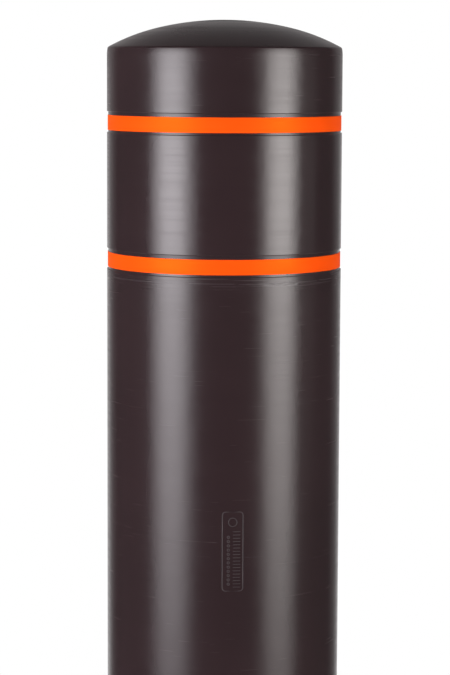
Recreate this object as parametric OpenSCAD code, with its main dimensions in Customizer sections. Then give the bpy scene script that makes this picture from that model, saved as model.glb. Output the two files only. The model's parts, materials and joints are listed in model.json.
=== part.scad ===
// Retractable bollard: a steel post in a moulded plastic sleeve, lifted by two gas springs out of a
// ground casing and locked by two bolts that a key in the crown throws through one shaft.
// Millimetres, +Z up. The origin is on the post's axis at paving level, with the post raised.

/* [Post] */
// Height of the crown above the paving with the post raised
post_height = 900; // [800:10:1000]
// Outside diameter of the moulded sleeve
sleeve_d = 190; // [189:0.5:191]
// Wall of the moulded sleeve
sleeve_wall = 6; // [5:0.5:6]
// Depth of the crown's centre to the middle of the first band
first_band_drop = 82.3; // [75:0.1:110]
// Distance from one reflective band to the next
band_pitch = 110; // [60:5:150]
// Width of the reflective tape
tape_w = 12; // [10:0.1:15]

/* [Lock] */
// Travel of each lock bolt
bolt_throw = 16; // [12:1:16]
// Turn of the key that throws the bolts
key_turn = 90; // [80:5:90]

/* [Ground casing] */
// Outside diameter of the ground frame
frame_d = 300; // [290:5:340]
// Side of the square foot plate
floor_w = 260; // [250:5:320]
// Reach of the concrete anchors from the axis
anchor_reach = 165; // [150:5:200]

/* [Hidden] */
$fn = 96;

touch = 0.05;   // gap between fixed pieces that only touch
run = 0.1;      // radial gap of a running fit
past = 1;       // how far a cutter runs past the face it cuts

// Levels, with the post raised
proud = 3;                      // crown above the paving with the post down
travel = post_height - proud;
collar_top = -200;
foot_z = -270;
bolt_z = -238;
buffer_h = 32.5;
buffer_gap = 0.5;
floor_top = foot_z - travel - buffer_h - buffer_gap;
floor_t = 10;

// Sleeve and its dome: a crown arc, a shoulder arc and a small edge radius
sleeve_r = sleeve_d / 2;
crown_r = 230;
shoulder_r = 160;
edge_r = 2.6;
join_r = 55;
join_a = asin(join_r / crown_r);
crown_c = post_height - crown_r;
shoulder_cx = (crown_r - shoulder_r) * sin(join_a);
shoulder_cz = crown_c + (crown_r - shoulder_r) * cos(join_a);
edge_cx = sleeve_r - edge_r;
edge_cz = shoulder_cz + sqrt(pow(shoulder_r - edge_r, 2) - pow(edge_cx - shoulder_cx, 2));
groove_w = 17;
groove_depth = 1;
groove_lip = 0.4;
tape_t = 0.45;
band_z = [for (i = [0, 1]) post_height - first_band_drop - i * band_pitch];
// the tape was laid a little below the middle of its groove
tape_drop = 0.5;
groove_z = [for (z = band_z) z + tape_drop];

// Post tube, a 6 inch pipe, and its head
tube_r = 168.3 / 2;
tube_bore = tube_r - 6.3;
head_t = 10;
head_top = post_height - 35;
tube_top = head_top - head_t;
cushion_r = [50, 66];
cushion_gap = 0.2;
foam_w = 25;
foam_z = [100, head_top - 65];

// Ground casing, an 8 inch pipe
casing_r = 219.1 / 2;
casing_bore = casing_r - 6.3;
trim_t = 10;
gasket_t = 2;
flange_t = 12;
flange_top = -trim_t - gasket_t;
tube_end = flange_top - flange_t;
trim_bore = sleeve_r + 2;
screw_count = 8;
screw_r = 4;
screw_pcd_r = (frame_d / 2 + casing_r) / 2 + 3;
bush_z = [-150, flange_top - 11];
stop_t = 15;

// Foot of the post
collar_r = 100;
wear_r = casing_bore - 0.5;
wear_bed_r = 94;
wear_h = 12;
wear_z = [-218, -266];
block_r = tube_bore - touch;
block_z = [-260, -206];
rail_w = 12;
rail_t = 5;
rail_gap = 0.6;

// Lock bolts, their follower pins and the cam that throws them
bolt_r = 11;
bolt_bore = bolt_r + 0.2;
bolt_back = 12;
bolt_tip = collar_r + 1;
bolt_chamfer = 2;
pin_r = 4;
pin_start = 18;
pin_clear = 0.25;
cam_r = 42;
cam_z = block_z[1] + 0.5;
cam_t = 8;
hub_r = 13;
hub_top = cam_z + cam_t + 15;
keeper_r = 18;
keeper_reach = casing_r + 19;
keeper_wall = 6;

// Lock shaft
spindle_r = 8;
bush_wall = 2;
top_bush_r = 12;
bush_flange_r = 15;
bush_flange_t = 3;
collar_h = 8;
thrust_r = 13;
drive_z = head_top + bush_flange_t + run + collar_h;
drive_r = 10;
drive_h = 15;
roll_pin_r = 2.5;

// Lock housing in the crown, and the flap over the keyway
housing_r = 25.6;
housing_bore = 20;
flap_r = 25.3;
flap_floor = post_height - 5;
hinge_y = -15;
hinge_z = post_height - 3.7;
knuckle_r = 3.2;
knuckle_w = 24.8;
hinge_pin_r = 1.5;
hinge_pin_w = 39;
seal_t = 1.8;

// Gas springs
gas_x = 55;
gas_r = 14;
gas_bore = 11.5;
rod_r = 7;
gas_z = [-150, tube_top - 35];
gas_cap = 8;
gland_h = 15;
piston_z = -118;
piston_h = 12;
eye_r = 9;
eye_w = 16;
clevis_pin_r = 4;
head_eye_z = tube_top - 23;
floor_eye_z = floor_top + 24;
rod_hole = 12;
ear_t = 5;
ear_gap = 0.3;
clevis_w = 36;
clevis_d = 30;

// Drain
drain_r = 25;
drain_bore = 22.5;
drain_boss_r = 29;
drain_boss_reach = 125;
drain_z = floor_top + drain_boss_r + 3;
drain_reach = 175;

// ---------------------------------------------------------------- shared shapes

module ring(r_in, r_out, z0, z1) {
    translate([0, 0, z0]) difference() {
        cylinder(r = r_out, h = z1 - z0);
        translate([0, 0, -past]) cylinder(r = r_in, h = z1 - z0 + 2 * past);
    }
}

module rod_x(r, length, centre = true) {
    rotate([0, 90, 0]) cylinder(r = r, h = length, center = centre);
}

module rod_y(r, y0, y1) {
    translate([0, y0, 0]) rotate([-90, 0, 0]) cylinder(r = r, h = y1 - y0);
}

module around(count, start = 0) {
    for (i = [0:count - 1]) rotate([0, 0, start + i * 360 / count]) children();
}

module both_sides() {
    for (s = [-1, 1]) translate([s * gas_x, 0, 0]) children();
}

// Height of the dome's surface, moved in by inset, at radius r inside its edge
function dome_z(r, inset) =
    r < shoulder_cx + (shoulder_r - inset) * sin(join_a)
    ? crown_c + sqrt(pow(crown_r - inset, 2) - r * r)
    : shoulder_cz + sqrt(pow(shoulder_r - inset, 2) - pow(r - shoulder_cx, 2));

// Points along an arc after its first: angles from straight up, towards +X
function arc(cx, cz, r, from, to, steps) =
    [for (i = [1:steps]) let (a = from + (to - from) * i / steps) [cx + r * sin(a), cz + r * cos(a)]];

module crown_ball() {
    translate([0, 0, crown_c]) sphere(r = crown_r, $fn = 360);
}

// Slot in the frame, collar and rings that the guide rail runs in
module rail_notch(z0, z1) {
    translate([-casing_r, -rail_w / 2 - rail_gap, z0])
        cube([casing_r - casing_bore + rail_t + rail_gap, rail_w + 2 * rail_gap, z1 - z0]);
}

// ---------------------------------------------------------------- sleeve and bands

function groove(z, edge) = [
    [sleeve_r, z + edge + groove_lip], [sleeve_r - groove_lip, z + edge],
    [sleeve_r - groove_depth, z + edge], [sleeve_r - groove_depth, z - edge],
    [sleeve_r - groove_lip, z - edge], [sleeve_r, z - edge - groove_lip],
];

module post_sleeve() {
    mouth_r = housing_r + 0.4;
    inside_r = sleeve_r - sleeve_wall;
    inner_crown_r = crown_r - sleeve_wall;
    inner_shoulder_r = shoulder_r - sleeve_wall;
    mouth_a = asin(mouth_r / crown_r);
    edge_a = asin((edge_cx - shoulder_cx) / (shoulder_r - edge_r));
    inner_mouth_a = asin(mouth_r / inner_crown_r);
    inner_edge_a = asin((inside_r - shoulder_cx) / inner_shoulder_r);
    color("#3a2e30") rotate_extrude() polygon(concat(
        [[mouth_r, dome_z(mouth_r, 0)]],
        arc(0, crown_c, crown_r, mouth_a, join_a, 6),
        arc(shoulder_cx, shoulder_cz, shoulder_r, join_a, edge_a, 10),
        arc(edge_cx, edge_cz, edge_r, edge_a, 90, 6),
        groove(groove_z[0], groove_w / 2),
        groove(groove_z[1], groove_w / 2),
        [[sleeve_r, collar_top], [inside_r, collar_top]],
        [[inside_r, dome_z(inside_r, sleeve_wall)]],
        arc(shoulder_cx, shoulder_cz, inner_shoulder_r, inner_edge_a, join_a, 10),
        arc(0, crown_c, inner_crown_r, join_a, inner_mouth_a, 6)
    ));
}

module reflective_band(z) {
    bed_r = sleeve_r - groove_depth;
    color("#ff5e13") ring(bed_r, bed_r + tape_t, z - tape_w / 2, z + tape_w / 2);
}

// ---------------------------------------------------------------- post tube and head

module post_tube() {
    color("#9aa0a3") difference() {
        ring(tube_bore, tube_r, foot_z, tube_top);
        translate([0, 0, bolt_z]) rod_y(bolt_bore, -casing_r, casing_r);
    }
}

module head_plate() {
    color("#8d9396") difference() {
        translate([0, 0, tube_top]) cylinder(r = tube_r, h = head_t);
        translate([0, 0, tube_top - past]) cylinder(r = top_bush_r + touch, h = head_t + 2 * past);
        both_sides() clevis_screw_pair(touch, 0);
    }
}

module dome_cushion() {
    color("#1c1c1c") rotate_extrude() polygon([
        [cushion_r[0], head_top], [cushion_r[1], head_top],
        for (i = [1, 0.5, 0]) let (r = cushion_r[0] + i * (cushion_r[1] - cushion_r[0]))
            [r, dome_z(r, sleeve_wall) - cushion_gap],
    ]);
}

module foam_strips() {
    color("#e8e6df") around(4, 45) intersection() {
        ring(tube_r, sleeve_r - sleeve_wall, foam_z[0], foam_z[1]);
        translate([tube_r - 5, -foam_w / 2, foam_z[0]])
            cube([20, foam_w, foam_z[1] - foam_z[0]]);
    }
}

// ---------------------------------------------------------------- foot of the post

module foot_collar() {
    color("#7f8588") difference() {
        ring(tube_r + touch, collar_r, foot_z, collar_top);
        for (z = wear_z) ring(wear_bed_r, collar_r + past, z - touch, z + wear_h + touch);
        translate([0, 0, bolt_z]) rod_y(bolt_bore, -casing_r, casing_r);
        rail_notch(foot_z - past, collar_top + past);
    }
}

module wear_ring(z) {
    split = 3;
    color("#e9e4d2") difference() {
        ring(wear_bed_r + touch, wear_r, z, z + wear_h);
        rail_notch(z - past, z + wear_h + past);
        rotate([0, 0, 30]) translate([wear_bed_r - past, -split / 2, z - past])
            cube([20, split, wear_h + 2 * past]);
    }
}

module foot_block() {
    slot_end = pin_start + bolt_throw;
    slot_r = pin_r + pin_clear;
    color("#6f7578") difference() {
        translate([0, 0, block_z[0]]) cylinder(r = block_r, h = block_z[1] - block_z[0]);
        translate([0, 0, block_z[0] - past])
            cylinder(r = spindle_r + bush_wall + touch, h = block_z[1] - block_z[0] + 2 * past);
        both_sides() translate([0, 0, block_z[0] - past])
            cylinder(r = rod_hole, h = block_z[1] - block_z[0] + 2 * past);
        translate([0, 0, bolt_z]) rod_y(bolt_bore, -casing_r, casing_r);
        for (s = [-1, 1]) translate([0, 0, bolt_z]) {
            for (y = [pin_start, slot_end]) translate([0, s * y, 0]) cylinder(r = slot_r, h = 60);
            translate([-slot_r, s > 0 ? pin_start : -slot_end, 0])
                cube([2 * slot_r, bolt_throw, 60]);
        }
    }
}

// ---------------------------------------------------------------- lock bolts and cam

module lock_bolt() {
    color("#c9cdcf") difference() {
        translate([0, 0, bolt_z]) union() {
            rod_y(bolt_r, bolt_back, bolt_tip - bolt_chamfer);
            translate([0, bolt_tip - bolt_chamfer, 0]) rotate([-90, 0, 0])
                cylinder(r1 = bolt_r, r2 = bolt_r - bolt_chamfer, h = bolt_chamfer);
        }
        translate([0, pin_start, bolt_z - pin_r]) cylinder(r = pin_r + touch, h = 30);
    }
}

module follower_pin() {
    color("#b08d3c") translate([0, pin_start, bolt_z - pin_r])
        cylinder(r = pin_r, h = cam_z + cam_t - 0.5 - bolt_z + pin_r);
}

// Point on the spiral slot's edge: turn in degrees, side in mm off the middle line
function spiral_r(turn) = pin_start + bolt_throw * turn / key_turn;
function spiral_edge(turn, side) =
    let (r = spiral_r(turn), a = 90 - turn, slope = bolt_throw / (key_turn * PI / 180))
    let (along = [slope * cos(a) + r * sin(a), slope * sin(a) - r * cos(a)])
    let (normal = [-along[1], along[0]] / norm(along))
    [r * cos(a), r * sin(a)] + side * normal;

module spiral_slot() {
    half = pin_r + pin_clear;
    steps = 18;
    turns = [for (i = [0:steps]) key_turn * i / steps];
    linear_extrude(height = cam_t + 2 * past) {
        polygon(concat(
            [for (t = turns) spiral_edge(t, half)],
            [for (i = [steps:-1:0]) spiral_edge(turns[i], -half)]
        ));
        for (t = [0, key_turn]) translate(spiral_edge(t, 0)) circle(r = half);
    }
}

module lock_cam() {
    color("#a8adb0") difference() {
        union() {
            translate([0, 0, cam_z]) cylinder(r = cam_r, h = cam_t);
            translate([0, 0, cam_z]) cylinder(r = hub_r, h = hub_top - cam_z);
        }
        translate([0, 0, cam_z - past])
            cylinder(r = spindle_r + touch, h = hub_top - cam_z + 2 * past);
        around(2) translate([0, 0, cam_z - past]) spiral_slot();
        cam_pin_place() rod_x(roll_pin_r + touch, 3 * hub_r);
    }
}

module cam_pin_place() {
    translate([0, 0, cam_z + cam_t + 8]) rotate([0, 0, 45]) children();
}

module cam_pin() {
    color("#d5d8da") cam_pin_place() rod_x(roll_pin_r, 2 * hub_r - 1);
}

module collar_pin_place() {
    translate([0, 0, drive_z - collar_h / 2]) children();
}

module lock_spindle() {
    color("#c3c7c9") difference() {
        union() {
            translate([0, 0, bolt_z + bolt_bore + 3])
                cylinder(r = spindle_r, h = drive_z - bolt_z - bolt_bore - 3);
            translate([0, 0, drive_z]) cylinder(r = drive_r, h = drive_h, $fn = 5);
        }
        cam_pin_place() rod_x(roll_pin_r + touch, 3 * hub_r);
        collar_pin_place() rod_x(roll_pin_r + touch, 3 * thrust_r);
    }
}

module thrust_collar() {
    color("#9a9ea0") difference() {
        ring(spindle_r + touch, thrust_r, drive_z - collar_h, drive_z);
        collar_pin_place() rod_x(roll_pin_r + touch, 3 * thrust_r);
    }
}

module collar_pin() {
    color("#d5d8da") collar_pin_place() rod_x(roll_pin_r, 2 * thrust_r - 1);
}

module spindle_top_bush() {
    color("#b88a44") {
        difference() {
            union() {
                translate([0, 0, tube_top]) cylinder(r = top_bush_r, h = head_t);
                translate([0, 0, head_top]) cylinder(r = bush_flange_r, h = bush_flange_t);
            }
            translate([0, 0, tube_top - past])
                cylinder(r = spindle_r + run, h = head_t + bush_flange_t + 2 * past);
        }
    }
}

module spindle_foot_bush() {
    color("#b88a44") ring(spindle_r + run, spindle_r + bush_wall, bolt_z + bolt_bore + 4, block_z[1]);
}

// ---------------------------------------------------------------- crown lock housing and flap

module hinge_place() {
    translate([0, hinge_y, hinge_z]) children();
}

module lock_housing() {
    pocket_r = knuckle_r + 0.6;
    pocket_w = knuckle_w + 1.2;
    color("#4a4446") difference() {
        intersection() {
            translate([0, 0, head_top]) cylinder(r = housing_r, h = 50);
            crown_ball();
        }
        translate([0, 0, head_top - past]) cylinder(r = housing_bore, h = 60);
        translate([-50, hinge_y + pocket_r, flap_floor - seal_t - 0.2]) cube([100, 100, 20]);
        hinge_place() rod_x(pocket_r, pocket_w);
        hinge_place() translate([-pocket_w / 2, -pocket_r, 0]) cube([pocket_w, 2 * pocket_r, 20]);
        hinge_place() rod_x(hinge_pin_r + touch, hinge_pin_w);
    }
}

module flap_seal() {
    color("#161616") difference() {
        ring(housing_bore + 1, flap_r - 0.5, flap_floor - seal_t - 0.2, flap_floor - 0.2);
        translate([-50, -60 + hinge_y + 6, flap_floor - 10]) cube([100, 60, 20]);
    }
}

module key_flap() {
    side_gap = 4.7;
    notch_r = 5;
    color("#3a2e30") difference() {
        intersection() {
            union() {
                translate([0, 0, flap_floor]) cylinder(r = flap_r, h = 20);
                hinge_place() rod_x(knuckle_r, knuckle_w);
            }
            crown_ball();
            union() {
                translate([-50, hinge_y + side_gap, flap_floor - 20]) cube([100, 100, 40]);
                translate([-knuckle_w / 2, hinge_y, flap_floor - 20]) cube([knuckle_w, 100, 40]);
                hinge_place() rod_x(knuckle_r, knuckle_w);
            }
        }
        hinge_place() rod_x(hinge_pin_r + run, hinge_pin_w);
        translate([0, flap_r + notch_r - 2, flap_floor - past]) cylinder(r = notch_r, h = 20);
    }
}

module flap_hinge_pin() {
    color("#c9cdcf") hinge_place() rod_x(hinge_pin_r, hinge_pin_w - 1);
}

// ---------------------------------------------------------------- gas springs

module gas_cylinder() {
    color("#232426") difference() {
        union() {
            translate([0, 0, gas_z[0]]) cylinder(r = gas_r, h = gas_z[1] - gas_z[0]);
            translate([0, 0, gas_z[1]]) cylinder(r = 6, h = head_eye_z - gas_z[1]);
            translate([0, 0, head_eye_z]) rod_y(eye_r, -eye_w / 2, eye_w / 2);
        }
        translate([0, 0, gas_z[0] - past])
            cylinder(r = gas_bore, h = gas_z[1] - gas_cap - gas_z[0] + past);
        translate([0, 0, head_eye_z]) rod_y(clevis_pin_r + touch, -eye_w, eye_w);
    }
}

module gas_glands() {
    color("#8f9497") both_sides()
        ring(rod_r + run, gas_bore - touch, gas_z[0], gas_z[0] + gland_h);
}

module gas_rod() {
    color("#e3e6e8") difference() {
        union() {
            translate([0, 0, floor_eye_z]) cylinder(r = rod_r, h = piston_z + piston_h - floor_eye_z);
            translate([0, 0, floor_eye_z]) rod_y(eye_r, -eye_w / 2, eye_w / 2);
        }
        translate([0, 0, floor_eye_z]) rod_y(clevis_pin_r + touch, -eye_w, eye_w);
    }
}

module gas_pistons() {
    color("#b88a44") both_sides()
        ring(rod_r + touch, gas_bore - 0.3, piston_z, piston_z + piston_h);
}

// Clevis with its plate on z = 0 and its ears reaching up to the eye at eye_h
module clevis(eye_h) {
    plate_t = 5;
    ear_w = 20;
    inner = eye_w / 2 + ear_gap;
    difference() {
        union() {
            translate([-clevis_w / 2, -clevis_d / 2, 0]) cube([clevis_w, clevis_d, plate_t]);
            for (s = [-1, 1]) translate([0, s * (inner + ear_t / 2), 0]) {
                translate([-ear_w / 2, -ear_t / 2, 0]) cube([ear_w, ear_t, eye_h]);
                translate([0, 0, eye_h]) rod_y(ear_w / 2, -ear_t / 2, ear_t / 2);
            }
        }
        translate([0, 0, eye_h]) rod_y(clevis_pin_r + touch, -clevis_d, clevis_d);
    }
}

module clevis_pin() {
    half = eye_w / 2 + ear_gap + ear_t + 3;
    head_r = 6;
    head_h = 2;
    rod_y(clevis_pin_r, -half, half);
    rod_y(head_r, -half - head_h, -half);
}

module floor_clevises() {
    color("#8d9396") both_sides() translate([0, 0, floor_top]) clevis(floor_eye_z - floor_top);
}

module floor_clevis_pins() {
    color("#c9cdcf") both_sides() translate([0, 0, floor_eye_z]) clevis_pin();
}

module head_clevises() {
    color("#8d9396") difference() {
        both_sides() translate([0, 0, tube_top]) rotate([180, 0, 0]) clevis(tube_top - head_eye_z);
        both_sides() clevis_screw_pair(touch, 0);
    }
}

module head_clevis_pins() {
    color("#c9cdcf") both_sides() translate([0, 0, head_eye_z]) clevis_pin();
}

// Two countersunk screws down through the head plate into a clevis, grown by gap
module clevis_screw_pair(gap, socket_r) {
    shank_r = 2.5;
    head_r = 5;
    head_h = 2.5;
    for (x = [-14, 14]) translate([x, 0, 0]) difference() {
        union() {
            translate([0, 0, tube_top - 5]) cylinder(r = shank_r + gap, h = head_t + 5 - head_h);
            translate([0, 0, head_top - head_h - gap])
                cylinder(r1 = shank_r + gap, r2 = head_r + gap, h = head_h + gap);
        }
        if (socket_r > 0) translate([0, 0, head_top - 2]) cylinder(r = socket_r, h = 3, $fn = 6);
    }
}

module clevis_screws() {
    color("#d5d8da") both_sides() clevis_screw_pair(0, 1.7);
}

// ---------------------------------------------------------------- ground casing

module casing_tube() {
    color("#8d9396") difference() {
        ring(casing_bore, casing_r, floor_top, tube_end);
        for (z = [bolt_z, bolt_z - travel]) translate([0, 0, z])
            rod_y(bolt_r + 0.6, -casing_r - past, casing_r + past);
        translate([casing_bore - 10, 0, drain_z]) rod_x(drain_bore, 40, false);
    }
}

module casing_floor() {
    corner = 20;
    hole_r = 7;
    hole_at = floor_w / 2 - 25;
    inner = floor_w - 2 * corner;
    color("#7f8588") translate([0, 0, floor_top - floor_t]) linear_extrude(height = floor_t)
        difference() {
            union() {
                square([floor_w, inner], center = true);
                square([inner, floor_w], center = true);
                for (x = [-1, 1], y = [-1, 1]) translate([x * inner / 2, y * inner / 2])
                    circle(r = corner);
            }
            for (x = [-1, 1], y = [-1, 1]) translate([x * hole_at, y * hole_at])
                circle(r = hole_r);
        }
}

module casing_flange() {
    color("#8d9396") difference() {
        ring(casing_bore, frame_d / 2, tube_end, flange_top);
        around(screw_count, 22.5) translate([screw_pcd_r, 0, tube_end - past])
            cylinder(r = screw_r + touch, h = flange_t + 2 * past);
    }
}

module flange_gussets() {
    rib_t = 8;
    rib_h = 45;
    color("#8d9396") around(4, 45) difference() {
        translate([0, rib_t / 2, tube_end]) rotate([90, 0, 0]) linear_extrude(height = rib_t)
            polygon([
                [casing_bore + 2, 0], [frame_d / 2 - 8, 0],
                [frame_d / 2 - 8, -6], [casing_r + 4, -rib_h], [casing_bore + 2, -rib_h],
            ]);
        translate([0, 0, tube_end - 2 * rib_h]) cylinder(r = casing_r, h = 3 * rib_h);
    }
}

module flange_gasket() {
    color("#1a1a1a") difference() {
        ring(casing_bore + 1, frame_d / 2, flange_top, flange_top + gasket_t);
        around(screw_count, 22.5) translate([screw_pcd_r, 0, flange_top - past])
            cylinder(r = screw_r + 0.5, h = gasket_t + 2 * past);
    }
}

module trim_screw(gap) {
    head_r = 8;
    head_h = 4;
    translate([0, 0, tube_end + 1]) cylinder(r = screw_r + gap, h = -tube_end - 1 - head_h);
    translate([0, 0, -head_h - 0.3 - gap])
        cylinder(r1 = screw_r + gap, r2 = head_r + gap, h = head_h + gap);
    if (gap > 0) translate([0, 0, -0.31]) cylinder(r = head_r + gap, h = past);
}

module trim_ring() {
    edge = 3;
    color("#b9bdbf") difference() {
        rotate_extrude() polygon([
            [trim_bore, -trim_t], [frame_d / 2, -trim_t], [frame_d / 2, -edge],
            [frame_d / 2 - edge, 0], [trim_bore + 1, 0], [trim_bore, -1],
        ]);
        around(screw_count, 22.5) translate([screw_pcd_r, 0, 0]) trim_screw(0.1);
    }
}

module trim_screws() {
    socket_r = 2.9;
    color("#d5d8da") around(screw_count, 22.5) translate([screw_pcd_r, 0, 0]) difference() {
        trim_screw(0);
        translate([0, 0, -3.5]) cylinder(r = socket_r, h = 5, $fn = 6);
    }
}

module wiper_seal() {
    lip_r = sleeve_r + 0.4;
    color("#141414") rotate_extrude() polygon([
        [trim_bore + 1, -trim_t - 10], [casing_bore - touch, -trim_t - 10],
        [casing_bore - touch, -trim_t], [trim_bore - 0.3, -trim_t],
        [lip_r + 0.9, -3], [lip_r, -3], [lip_r, -6],
    ]);
}

module guide_bush() {
    color("#e9e4d2") ring(sleeve_r + 0.6, casing_bore - touch, bush_z[0], bush_z[1]);
}

module stop_ring() {
    color("#7f8588") ring(trim_bore, casing_bore - touch, bush_z[0] - stop_t, bush_z[0]);
}

module raise_buffer() {
    color("#1a1a1a") ring(sleeve_r + 1.2, casing_bore - 0.3, collar_top + buffer_gap,
        bush_z[0] - stop_t);
}

module floor_buffers() {
    pad_r = 12;
    color("#1a1a1a") around(4, 45) translate([casing_bore - pad_r - 1.25, 0, floor_top])
        cylinder(r = pad_r, h = buffer_h);
}

module guide_rail() {
    rail_z = [floor_top + 5, collar_top - 2];
    color("#8d9396") intersection() {
        translate([-casing_bore - past, -rail_w / 2, rail_z[0]])
            cube([rail_t + past, rail_w, rail_z[1] - rail_z[0]]);
        translate([0, 0, rail_z[0] - past])
            cylinder(r = casing_bore, h = rail_z[1] - rail_z[0] + 2 * past);
    }
}

module bolt_keepers() {
    color("#7f8588") for (z = [bolt_z, bolt_z - travel]) around(2) difference() {
        translate([0, 0, z]) rod_y(keeper_r, casing_bore, keeper_reach);
        translate([0, 0, z]) rod_y(bolt_r + 0.6, 0, keeper_reach - keeper_wall);
        translate([0, 0, z - 2 * keeper_r]) cylinder(r = casing_r, h = 4 * keeper_r);
    }
}

module drain_outlet() {
    color("#5a5f61") difference() {
        translate([0, 0, drain_z]) union() {
            rod_x(drain_boss_r, drain_boss_reach, false);
            rod_x(drain_r, drain_reach, false);
        }
        translate([0, 0, drain_z]) rod_x(drain_bore, drain_reach + past, false);
        translate([0, 0, drain_z - 2 * drain_boss_r])
            cylinder(r = casing_r, h = 4 * drain_boss_r);
    }
}

module concrete_anchors() {
    bar_r = 6;
    leg = 80;
    color("#7a5a45") for (z = [-130, floor_top / 2 - 60]) around(4, 45) difference() {
        union() {
            translate([casing_bore, 0, z]) rod_x(bar_r, anchor_reach - casing_bore - bar_r, false);
            translate([anchor_reach - bar_r, 0, z]) sphere(r = bar_r);
            translate([anchor_reach - bar_r, 0, z - leg]) cylinder(r = bar_r, h = leg);
        }
        translate([0, 0, z - leg]) cylinder(r = casing_r, h = 2 * leg);
    }
}

// ---------------------------------------------------------------- nodes

casing_tube();
casing_floor();
casing_flange();
flange_gussets();
flange_gasket();
trim_ring();
trim_screws();
wiper_seal();
guide_bush();
stop_ring();
raise_buffer();
floor_buffers();
guide_rail();
bolt_keepers();
drain_outlet();
concrete_anchors();
translate([-gas_x, 0, 0]) gas_rod();  // left_gas_rod
translate([gas_x, 0, 0]) gas_rod();  // right_gas_rod
gas_pistons();
floor_clevises();
floor_clevis_pins();
post_sleeve();
reflective_band(band_z[0]);  // upper_reflective_band
reflective_band(band_z[1]);  // lower_reflective_band
post_tube();
head_plate();
dome_cushion();
foam_strips();
foot_collar();
foot_block();
wear_ring(wear_z[0]);  // upper_wear_ring
wear_ring(wear_z[1]);  // lower_wear_ring
lock_housing();
flap_seal();
flap_hinge_pin();
spindle_top_bush();
spindle_foot_bush();
translate([-gas_x, 0, 0]) gas_cylinder();  // left_gas_cylinder
translate([gas_x, 0, 0]) gas_cylinder();  // right_gas_cylinder
gas_glands();
head_clevises();
head_clevis_pins();
clevis_screws();
lock_spindle();
thrust_collar();
collar_pin();
lock_cam();
cam_pin();
mirror([0, 1, 0]) lock_bolt();  // front_lock_bolt
mirror([0, 1, 0]) follower_pin();  // front_follower_pin
lock_bolt();  // rear_lock_bolt
follower_pin();  // rear_follower_pin
key_flap();
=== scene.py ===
# %% [markdown]
# # A retractable bollard
# A steel post wears a moulded plastic sleeve and slides out of a casing set in concrete.
# Everything below is in metres, with the paving at z = 0, the post's axis at x = y = 0 and the
# front of the bollard facing -Y.

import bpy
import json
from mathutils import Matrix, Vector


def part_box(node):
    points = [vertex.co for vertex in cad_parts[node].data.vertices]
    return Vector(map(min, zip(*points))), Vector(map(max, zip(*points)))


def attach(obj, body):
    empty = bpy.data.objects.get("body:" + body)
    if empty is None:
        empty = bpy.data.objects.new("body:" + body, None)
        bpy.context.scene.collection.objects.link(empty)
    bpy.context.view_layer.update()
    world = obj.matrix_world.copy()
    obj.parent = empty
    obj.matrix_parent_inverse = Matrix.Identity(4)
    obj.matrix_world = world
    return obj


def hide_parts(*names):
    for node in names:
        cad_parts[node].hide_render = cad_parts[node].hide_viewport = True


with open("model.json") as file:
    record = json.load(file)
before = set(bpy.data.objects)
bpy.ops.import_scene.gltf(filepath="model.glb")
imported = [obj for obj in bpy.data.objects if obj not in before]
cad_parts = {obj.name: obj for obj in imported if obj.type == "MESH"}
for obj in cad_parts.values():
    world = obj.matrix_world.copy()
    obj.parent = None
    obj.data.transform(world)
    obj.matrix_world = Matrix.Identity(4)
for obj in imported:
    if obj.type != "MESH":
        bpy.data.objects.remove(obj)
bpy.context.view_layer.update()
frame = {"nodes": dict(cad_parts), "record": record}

# %% Bring in the tools and two units
import json
from math import asin, atan2, cos, degrees, hypot, pi, radians, sin, sqrt

import bmesh
import bpy
from mathutils import Matrix, Vector

MM = 0.001
SCENE = bpy.context.scene

# %% [markdown]
# ## Reading sizes off the model
# The script never guesses where a part is.

# %% Sizes of the post and the casing
SLEEVE_LOW, SLEEVE_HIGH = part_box("post_sleeve")
SLEEVE_R = SLEEVE_HIGH.x
SLEEVE_FOOT = SLEEVE_LOW.z
POST_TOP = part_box("key_flap")[1].z
TRIM_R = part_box("trim_ring")[1].x
CASING_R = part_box("casing_tube")[1].x
CASING_FOOT, CASING_HEAD = [corner.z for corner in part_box("casing_tube")]
GROUND_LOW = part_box("casing_floor")[0].z
BAND_Z = [sum(corner.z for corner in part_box(name)) / 2
          for name in ("upper_reflective_band", "lower_reflective_band")]
print("sleeve radius %.1f mm, top %.1f mm" % (SLEEVE_R / MM, POST_TOP / MM))
print("bands at", [round(z / MM, 1) for z in BAND_Z], "mm")

# %% [markdown]
# ## Building node trees without a forest of lines
# Geometry Nodes and shaders are both node trees, so one helper serves both. It makes a node, sets
# its options, and fills its inputs with either a number or another node's output.

# %% A helper that places one node
def put(tree, kind, inputs=None, **options):
    made = tree.nodes.new(kind)
    for option, value in options.items():
        setattr(made, option, value)
    for key, value in (inputs or {}).items():
        socket = made.inputs[key]
        if isinstance(value, bpy.types.NodeSocket):
            tree.links.new(value, socket)
        else:
            socket.default_value = value
    return made


def calc(tree, operation, *values):
    return put(tree, "ShaderNodeMath", dict(enumerate(values)), operation=operation).outputs[0]


# %% A helper that starts a geometry tree with named inputs
SOCKETS = {"whole": "NodeSocketInt", "number": "NodeSocketFloat", "finish": "NodeSocketMaterial"}


def geometry_tree(name, **named):
    tree = bpy.data.node_groups.new(name, "GeometryNodeTree")
    tree.interface.new_socket(name="Geometry", in_out="INPUT", socket_type="NodeSocketGeometry")
    for label, kind in named.items():
        title = label.replace("_", " ").capitalize()
        tree.interface.new_socket(name=title, in_out="INPUT", socket_type=SOCKETS[kind])
    tree.interface.new_socket(name="Geometry", in_out="OUTPUT", socket_type="NodeSocketGeometry")
    return tree, tree.nodes.new("NodeGroupInput").outputs


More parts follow.
